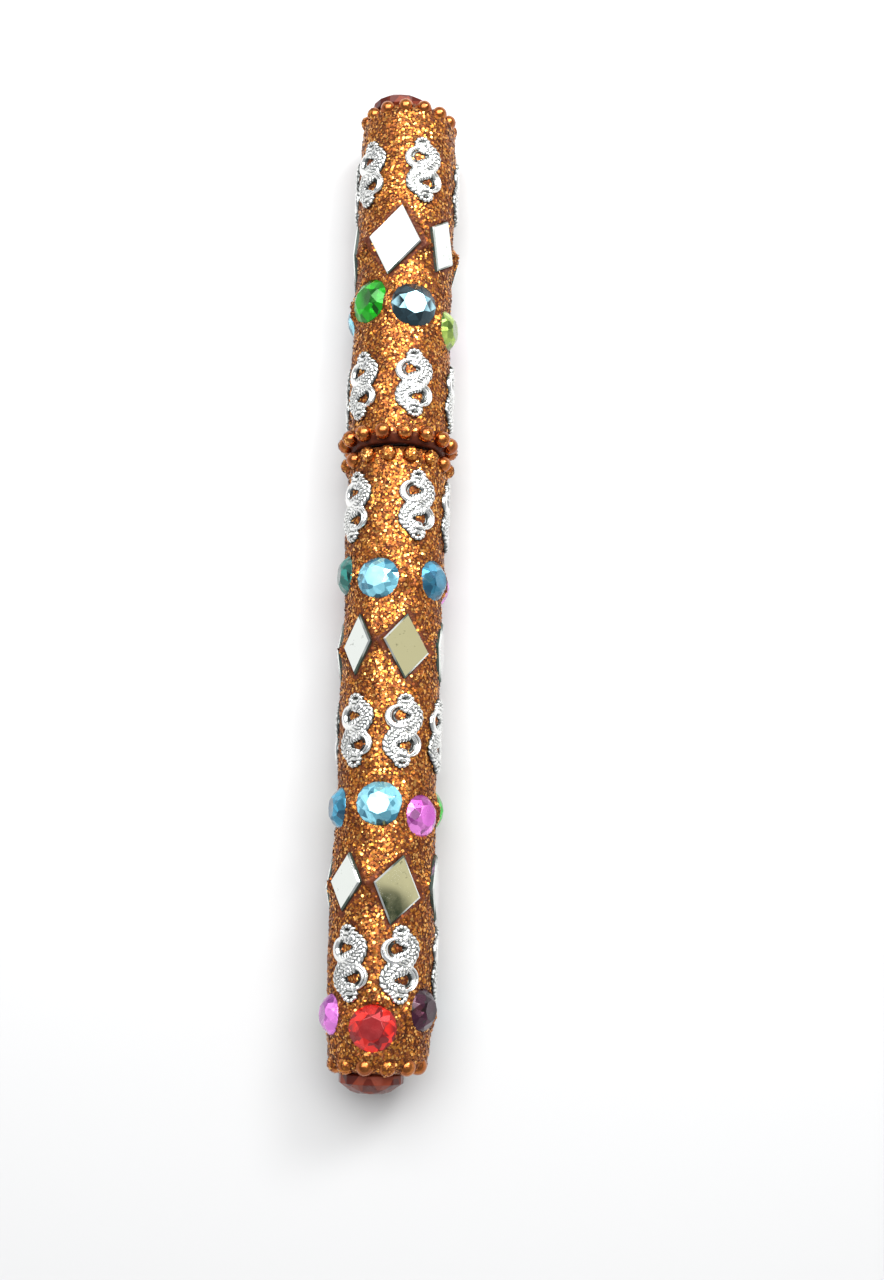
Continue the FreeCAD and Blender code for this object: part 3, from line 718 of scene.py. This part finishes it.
def stone_piece(name, node, matrix, shape, material, body, bevel):
    """A cut stone that stands for a CAD node, placed by a matrix, with its edges softened."""
    verts, faces = brilliant(*shape)
    placed = [tuple(matrix @ Vector(v)) for v in verts]
    thing = piece(name, placed, faces, [material], body, [node], smooth=False)
    bm = bmesh.new()
    bm.from_mesh(thing.data)
    bmesh.ops.recalc_face_normals(bm, faces=bm.faces)
    bmesh.ops.bevel(bm, geom=bm.edges[:], offset=bevel, segments=1, affect="EDGES", profile=0.5,
                    clamp_overlap=True)
    bm.to_mesh(thing.data)
    bm.free()
    thing.data.polygons.foreach_set("use_smooth", [False] * len(thing.data.polygons))


# ---------------------------------------------------------------- scroll plates

# A plate is drawn flat in millimetres, x across it and y along it.
SCROLL_CELL = 0.105
SCROLL_DRAWN_LENGTH = 10.86
RIB_PITCH = 0.54
LOOP_X, LOOP_Y = 0.42, 2.05      # the middle of a plain loop
EYE_X, EYE_Y = 0.15, 4.12        # the middle of a small notched eye at the plate's end
EYE_NOTCHES = 11
EDGE_HEIGHT = 0.24
PLATE_BACK = -0.28


def scroll_line():
    """The middle line of the ribbed band, a smooth reversed S through its knots."""
    half_line = [(-0.7, 3.55), (0.25, 3.50), (1.20, 3.20), (1.85, 2.40), (1.70, 1.40), (0.75, 0.50)]
    knots = np.array(half_line + [(-x, -y) for x, y in half_line[::-1]])
    line = []
    for k in range(1, len(knots) - 2):
        a, b, c, d = knots[k - 1:k + 3]
        for t in np.linspace(0, 1, 24, endpoint=False):
            square, cube = 2 * a - 5 * b + 4 * c - d, 3 * b - a - 3 * c + d
            line.append(0.5 * (2 * b + (c - a) * t + square * t * t + cube * t ** 3))
    return np.array(line)


def rounded(offset, width):
    """The section of a round wire of this half width, from 0 at its edges to 1 at its middle."""
    return np.sqrt(np.clip(1 - (offset / width) ** 2, 0, 1))


def scroll_field(x, y):
    """How far inside the plate a point is, its height, and its relief from 0 in the grooves to 1, which the
    silver turns into painted shade.
    """
    line = scroll_line()
    step = np.gradient(line, axis=0)
    step /= np.hypot(step[:, 0], step[:, 1])[:, None]
    run = np.concatenate([[0], np.cumsum(np.hypot(*np.diff(line, axis=0).T))])
    gap = np.hypot(x[..., None] - line[:, 0], y[..., None] - line[:, 1])
    nearest = gap.argmin(axis=-1)
    off, along = gap.min(axis=-1), run[nearest] - run[-1] / 2
    side = (x - line[nearest, 0]) * step[nearest, 1] - (y - line[nearest, 1]) * step[nearest, 0]
    half = 1.0 + 0.62 * np.exp(-(along / 1.5) ** 2)  # the band is widest at its middle
    strand = half / 3
    lane = np.clip(np.round(side / (2 * strand)), -1, 1)
    across = side - lane * 2 * strand
    slanted = along + np.where(lane == 0, -0.6, 0.6) * across + 0.25 * lane
    rib = np.abs(np.cos(np.pi * slanted / RIB_PITCH))
    inside = half + 0.10 * rib - off
    cross = rounded(across, strand * 1.12)
    height = 0.16 + 0.20 * rounded(off, half * 1.1) + 0.34 * cross * (0.45 + 0.55 * rib)
    # low relief between the ribs and off each strand's crest is painted dark as shade
    relief = cross * (0.06 + 0.94 * rib ** 1.3)
    for sign in (1, -1):
        loop_x, loop_y = x + LOOP_X * sign, y - LOOP_Y * sign
        ring = np.hypot(loop_x, loop_y)
        facing = np.cos(np.arctan2(loop_y * sign, loop_x * sign) - math.radians(200))
        width = 0.30 + 0.26 * np.clip(facing, 0, 1)
        middle = 1.50 + 0.30 * np.clip(facing, 0, 1)
        groove = np.exp(-((ring - middle + 0.02) / 0.09) ** 2) * (sign < 0) * (facing > 0.2)
        eye_x, eye_y = x - EYE_X * sign, y - EYE_Y * sign
        eye, turn = np.hypot(eye_x, eye_y), np.arctan2(eye_y, eye_x)
        notch = np.cos(turn * EYE_NOTCHES + 0.8)
        lip = rounded(eye - 0.93, 0.38)
        pip = rounded(eye, 0.40)
        wire = rounded(ring - middle, width)
        # the floor inside a loop gets relief 0, so it is painted near black as shade
        floor_of_loop = (np.where(ring > 0.80, 1.75 - ring, -1), 0.16 + 0 * x, 0.0 * x)
        loop = (np.where(facing > -0.3, width - np.abs(ring - middle), -1),
                0.18 + 0.52 * wire - 0.3 * groove, (0.2 + 0.8 * wire) * (1 - 0.9 * groove))
        end_eye = (1.32 + 0.08 * notch - eye, 0.14 + 0.50 * np.maximum(lip, 0.8 * pip) + 0.07 * notch * lip,
                   np.maximum(lip * (0.62 + 0.38 * notch), 0.9 * pip))
        for reach, lifted, tone in (floor_of_loop, loop, end_eye):
            better = (reach > 0) & ((lifted > height) | (inside <= 0))
            height = np.where(better, lifted, height)
            relief = np.where(better, tone, relief)
            inside = np.maximum(inside, reach)
    for sign, wide, tall, lean in ((1, 0.48, 0.66, -0.3), (-1, 0.68, 0.46, 0.5)):
        u, v = x + 0.62 * sign, y - 2.15 * sign
        a = u * math.cos(lean) + v * math.sin(lean)
        b = v * math.cos(lean) - u * math.sin(lean)
        hole = (np.hypot(a / wide, b / tall) - 1) * 0.65
        inside = np.minimum(inside, hole)
    return inside, height, relief


def scroll_shape():
    """One plate on a fine grid, its edge pulled onto the outline: flat points, heights, relief and faces."""
    step, nudge = SCROLL_CELL, 0.02
    xs = np.arange(-3.4, 3.4 + step, step)
    ys = np.arange(-5.8, 5.8 + step, step)
    x, y = np.meshgrid(xs, ys)
    inside, _, _ = scroll_field(x, y)
    centre = (inside[:-1, :-1] + inside[1:, :-1] + inside[:-1, 1:] + inside[1:, 1:]) / 4
    keep = centre > 0
    cells = np.zeros(x.shape, int)  # how many kept cells meet at each point
    for dr in (0, 1):
        for dc in (0, 1):
            cells[dr:dr + keep.shape[0], dc:dc + keep.shape[1]] += keep
    used = cells > 0
    edge = used & (cells < 4)
    for _ in range(3):
        value, _, _ = scroll_field(x, y)
        right, _, _ = scroll_field(x + nudge, y)
        up, _, _ = scroll_field(x, y + nudge)
        gx, gy = (right - value) / nudge, (up - value) / nudge
        size = np.maximum(gx * gx + gy * gy, 0.2)
        limit = step * 0.45
        x = np.where(edge, x - np.clip(value * gx / size, -limit, limit), x)
        y = np.where(edge, y - np.clip(value * gy / size, -limit, limit), y)
    _, height, relief = scroll_field(x, y)
    height = np.where(edge, np.minimum(height, EDGE_HEIGHT), height)
    # painted shade: the plate's edge keeps 0.7 of its relief, so it is painted darker
    relief = np.where(edge, relief * 0.7, relief)
    number = -np.ones(x.shape, int)
    number[used] = np.arange(used.sum())
    faces = []
    for r, c in zip(*np.nonzero(keep)):
        faces.append((number[r, c], number[r, c + 1], number[r + 1, c + 1], number[r + 1, c]))
    return x[used], y[used], height[used], relief[used], faces


def scroll_row(name, node, body, lac, material):
    """The scroll plates of one row, wrapped on the lac, each with a front, a back and a rim between them."""
    x, y, height, relief, faces = scroll_shape()
    count = len(x)
    edges = {}
    for face in faces:
        for a, b in zip(face, face[1:] + face[:1]):
            if (b, a) in edges:
                del edges[(b, a)]
            else:
                edges[(a, b)] = True
    rim = list(edges)
    vertices, all_faces, tones = [], [], []
    for seat in scroll_seats[node]:
        stretch = seat.length / (SCROLL_DRAWN_LENGTH * MM)
        u = x * math.cos(seat.twist) - y * stretch * math.sin(seat.twist)
        v = x * math.sin(seat.twist) + y * stretch * math.cos(seat.twist)
        place = seat.y + v * MM
        ground = np.interp(place, lac.ys, lac.base)
        start = len(vertices)
        for low in (False, True):
            radius = ground + (np.where(low, PLATE_BACK, height)) * MM
            turn = seat.angle + u * MM / np.median(ground)
            vertices += on_lac(radius, turn, place).tolist()
            # painted shade: the back of a plate keeps 0.3 of its relief, so it is painted darker
            tones += (relief * (0.3 if low else 1.0)).tolist()
        back = start + count
        all_faces += [tuple(start + int(k) for k in face) for face in faces]
        all_faces += [tuple(back + int(k) for k in face[::-1]) for face in faces]
        all_faces += [(start + int(b), start + int(a), back + int(a), back + int(b)) for a, b in rim]
    thing = piece(name, vertices, all_faces, [material], body, [node])
    attribute = thing.data.attributes.new("relief", "FLOAT", "POINT")
    attribute.data.foreach_set("value", np.array(tones, np.float32))
    normals_outward(thing.data)


# ---------------------------------------------------------------- building it

cap_tube_low, cap_tube_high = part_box("cap_tube")
BORE_GAP = 0.01 * MM
lac_material = glitter_lac()
barrel = Lac("barrel_lac", "barrel", BARREL_STONES, BARREL_MIRRORS, BARREL_SCROLLS, closed_low=True,
             bore=(tube_high.x - tube_low.x) / 2 + BORE_GAP, bore_end=tube_low.y, seed=3.0)
cap = Lac("cap_lac", "cap", CAP_STONES, ["cap_mirrors"], CAP_SCROLLS, closed_low=False,
          bore=(cap_tube_high.x - cap_tube_low.x) / 2 + BORE_GAP, bore_end=cap_tube_high.y, seed=11.0)
barrel.shell(lac_material, "barrel_lac_shell")
cap.shell(lac_material, "cap_lac_shell")

flake_materials = [
    flake("flake_umber", (0.20, 0.055, 0.017), 0.45),
    flake("flake_copper", (0.46, 0.142, 0.029), 0.38),
    flake("flake_orange", (0.66, 0.255, 0.044), 0.30),
    flake("flake_gold", (0.88, 0.45, 0.13), 0.22),
]
barrel.flakes(26000, 5, flake_materials, "barrel_glitter")
cap.flakes(16000, 6, flake_materials, "cap_glitter")

dusting("joint_beads", "barrel", 2400, 21, 0.7, flake_materials, "joint_bead_glitter")
dusting("mouth_beads", "cap", 260, 22, 0.5, flake_materials, "mouth_bead_glitter")
dusting("tail_beads", "barrel", 420, 23, 0.6, flake_materials, "tail_bead_glitter")
dusting("crown_beads", "cap", 420, 24, 0.6, flake_materials, "crown_bead_glitter")

silver = scroll_silver()
for node in BARREL_SCROLLS:
    scroll_row(node + "_cast", node, "barrel", barrel, silver)
for node in CAP_SCROLLS:
    scroll_row(node + "_cast", node, "cap", cap, silver)

# Each stone's deep tone and the bright tone of its painted facet reflections, and where the table differs, its
# two tones; the pale slate and sky tables are a painted highlight.
GEMS = {
    "green": gem("stone_green", (0.001, 0.08, 0.001), (0.008, 0.52, 0.008)),
    "slate": gem("stone_slate", (0.008, 0.022, 0.030), (0.026, 0.065, 0.085),
                 ((0.12, 0.28, 0.34), (0.35, 0.60, 0.68))),
    "olive": gem("stone_olive", (0.05, 0.11, 0.01), (0.45, 0.62, 0.12)),
    "pink": gem("stone_pink", (0.30, 0.04, 0.26), (0.95, 0.30, 0.85),
                ((0.45, 0.08, 0.42), (0.62, 0.13, 0.58))),
    "red": gem("stone_red", (0.20, 0.004, 0.006), (1.0, 0.03, 0.02),
               ((0.24, 0.008, 0.010), (0.34, 0.012, 0.014))),
    "sky": gem("stone_sky", (0.03, 0.18, 0.28), (0.30, 0.75, 0.90),
               ((0.25, 0.62, 0.80), (0.45, 0.85, 0.95))),
    "teal": gem("stone_teal", (0.002, 0.04, 0.035), (0.02, 0.26, 0.22)),
    "azure": gem("stone_azure", (0.01, 0.07, 0.13), (0.06, 0.36, 0.55)),
    "lilac": gem("stone_lilac", (0.26, 0.05, 0.28), (0.85, 0.25, 0.80)),
    "plum": gem("stone_plum", (0.008, 0.001, 0.004), (0.06, 0.006, 0.028)),
}
SLATE_LENGTH = 1.09  # the slate stone is longer along the pen than the others
for node, seat in stone_seats.items():
    colour = node.rsplit("_", 1)[1]
    shape = (seat.radius, seat.radius * 0.50, STONE_CROWN, 0.25 * MM, 0.3 * MM, seat.radius * 0.8)
    placed = seat.matrix() @ Matrix.Diagonal((STONE_OVAL, SLATE_LENGTH if colour == "slate" else 1.0, 1.0, 1.0))
    stone_piece(node + "_cut", node, placed, shape, GEMS[colour], "cap" if node in CAP_STONES else "barrel",
                0.03 * MM)

end_gem = end_stone()
for node, body, sign in (("tail_stone", "barrel", -1), ("crown_stone", "cap", 1)):
    low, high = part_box(node)
    centre = (low + high) / 2
    face = high.y if sign > 0 else low.y
    matrix = Matrix(((1, 0, 0, centre.x), (0, 0, sign, face), (0, -sign, 0, centre.z), (0, 0, 0, 1)))
    radius = (high.x - low.x) / 2
    shape = (radius, radius * 0.52, 1.35 * MM, 1.15 * MM, 0.39 * MM, radius * 0.9, 0.3)
    stone_piece(node + "_cut", node, matrix, shape, end_gem, body, 0.04 * MM)


def dress(names, material):
    """Gives CAD nodes a better material."""
    for name in names:
        for slot in NODES[name].material_slots:
            slot.material = material


dress(BARREL_MIRRORS + ["cap_mirrors"], mirror_glass())
dress(["tail_beads", "joint_beads", "mouth_beads", "crown_beads"],
      metal("bead_bronze_metal", (0.30, 0.075, 0.018), (0.52, 0.17, 0.035), 0.24, 700.0, 0.3))
dress(["barrel_tube", "cap_tube", "tail_plug"],
      plastic("tube_white_plastic", (0.78, 0.78, 0.76), (0.86, 0.86, 0.84), 0.35))
dress(["nose_section"],
      plastic("nose_black_plastic", (0.010, 0.010, 0.012), (0.022, 0.022, 0.025), 0.22, Coat_Weight=0.3))
dress(["refill_tube"],
      plastic("refill_clear_plastic", (0.62, 0.68, 0.74), (0.72, 0.78, 0.84), 0.12, Transmission_Weight=0.85))
dress(["refill_socket"],
      plastic("socket_white_plastic", (0.62, 0.63, 0.66), (0.72, 0.73, 0.75), 0.3))
dress(["refill_ink"], plastic("blue_ink", (0.005, 0.01, 0.12), (0.01, 0.02, 0.22), 0.15))
dress(["refill_point"], metal("point_brass_metal", (0.55, 0.38, 0.14), (0.85, 0.65, 0.30), 0.22, 900.0))
dress(["point_ball"], metal("ball_steel_metal", (0.45, 0.46, 0.48), (0.75, 0.76, 0.78), 0.12, 2500.0))

# ---------------------------------------------------------------- stage, light and camera

def floor_material():
    """A pale floor, painted paler far from the pen as painted light, where less of the lamps' light falls."""
    s = Shader("studio_floor", Roughness=0.6)
    reach = s.vector("LENGTH", s.place())
    pale = s.mix(s.noise(3.0, 2.0), (0.56, 0.56, 0.56), (0.58, 0.58, 0.58))
    s.put(s.bsdf, "Base Color", s.mix(s.ramp(reach, [(0.25, 0.0), (0.55, 1.0)]), pale, (0.90, 0.90, 0.90)))
    return s.material


HALF_FLOOR = 0.6
corners = [(HALF_FLOOR * x, HALF_FLOOR * y, 0) for x, y in ((-1, -1), (1, -1), (1, 1), (-1, 1))]
floor_mesh = bpy.data.meshes.new("studio_floor")
floor_mesh.from_pydata(corners, [], [(0, 1, 2, 3)])
floor_mesh.materials.append(floor_material())
floor = bpy.data.objects.new("studio_floor", floor_mesh)
floor.location.z = cad_low.z - 0.02 * MM
bpy.context.scene.collection.objects.link(floor)


def area_light(name, place, target, width, height, watts):
    data = bpy.data.lights.new(name, "AREA")
    data.shape, data.size, data.size_y, data.energy = "RECTANGLE", width, height, watts
    lamp = bpy.data.objects.new(name, data)
    lamp.location = place
    lamp.rotation_euler = (Vector(target) - Vector(place)).to_track_quat("-Z", "Y").to_euler()
    bpy.context.scene.collection.objects.link(lamp)


area_light("overhead_softbox", (-0.018, 0.185, 0.45), (-0.018, 0.185, 0.0), 0.525, 0.43, 4.1)
area_light("key_softbox", (0.22, 0.24, 0.34), (0.0, 0.0, 0.0), 0.12, 0.12, 0.95)


def studio_world():
    """A grey room, brighter low down, with a khaki wall and a dark doorway that two of the mirrors show."""
    world = bpy.data.worlds.new("studio_world")
    world.use_nodes = True
    tree = world.node_tree
    background = next(n for n in tree.nodes if n.type == "BACKGROUND")
    direction = tree.nodes.new("ShaderNodeTexCoord").outputs["Generated"]

    def blended(toward, inner, outer, under, tone):
        """The tone under, changed to another within some degrees of a direction."""
        near = tree.nodes.new("ShaderNodeVectorMath")
        near.operation = "DOT_PRODUCT"
        tree.links.new(direction, near.inputs[0])
        near.inputs[1].default_value = Vector(toward).normalized()
        edge = tree.nodes.new("ShaderNodeMapRange")
        edge.interpolation_type = "SMOOTHSTEP"
        tree.links.new(near.outputs["Value"], edge.inputs[0])
        edge.inputs[1].default_value = math.cos(math.radians(outer))
        edge.inputs[2].default_value = math.cos(math.radians(inner))
        mix = tree.nodes.new("ShaderNodeMix")
        mix.data_type = "RGBA"
        tree.links.new(edge.outputs[0], mix.inputs[0])
        if isinstance(under, bpy.types.NodeSocket):
            tree.links.new(under, mix.inputs[6])
        else:
            mix.inputs[6].default_value = (*under, 1)
        mix.inputs[7].default_value = (*tone, 1)
        return mix.outputs[2]

    horizon, zenith = (1.05, 1.05, 1.05), (0.38, 0.39, 0.41)
    khaki, doorway = (0.70, 0.63, 0.38), (0.03, 0.045, 0.025)
    colour = blended((0, 0, 1), 66, 80, horizon, zenith)
    colour = blended((0.60, 0.10, 0.79), 9, 14, colour, khaki)
    colour = blended((0.512, 0.014, 0.859), 0.7, 1.6, colour, doorway)
    tree.links.new(colour, background.inputs["Color"])
    bpy.context.scene.world = world


studio_world()
bpy.context.scene.view_settings.view_transform = "Standard"

CAMERA_PITCH, CAMERA_ROLL = math.radians(11.41), math.radians(1.58)
camera_data = bpy.data.cameras.new("camera")
camera_data.lens = 42.19
camera_data.sensor_width = 36.0
camera_data.clip_start = 0.001
camera = bpy.data.objects.new("camera", camera_data)
camera.location = (0.00734, -0.05445, 0.2157 + AXIS_Z)
turned = Matrix.Rotation(CAMERA_PITCH, 3, "X") @ Matrix.Rotation(CAMERA_ROLL, 3, "Z")
camera.rotation_euler = turned.to_euler()
bpy.context.scene.collection.objects.link(camera)
bpy.context.scene.camera = camera
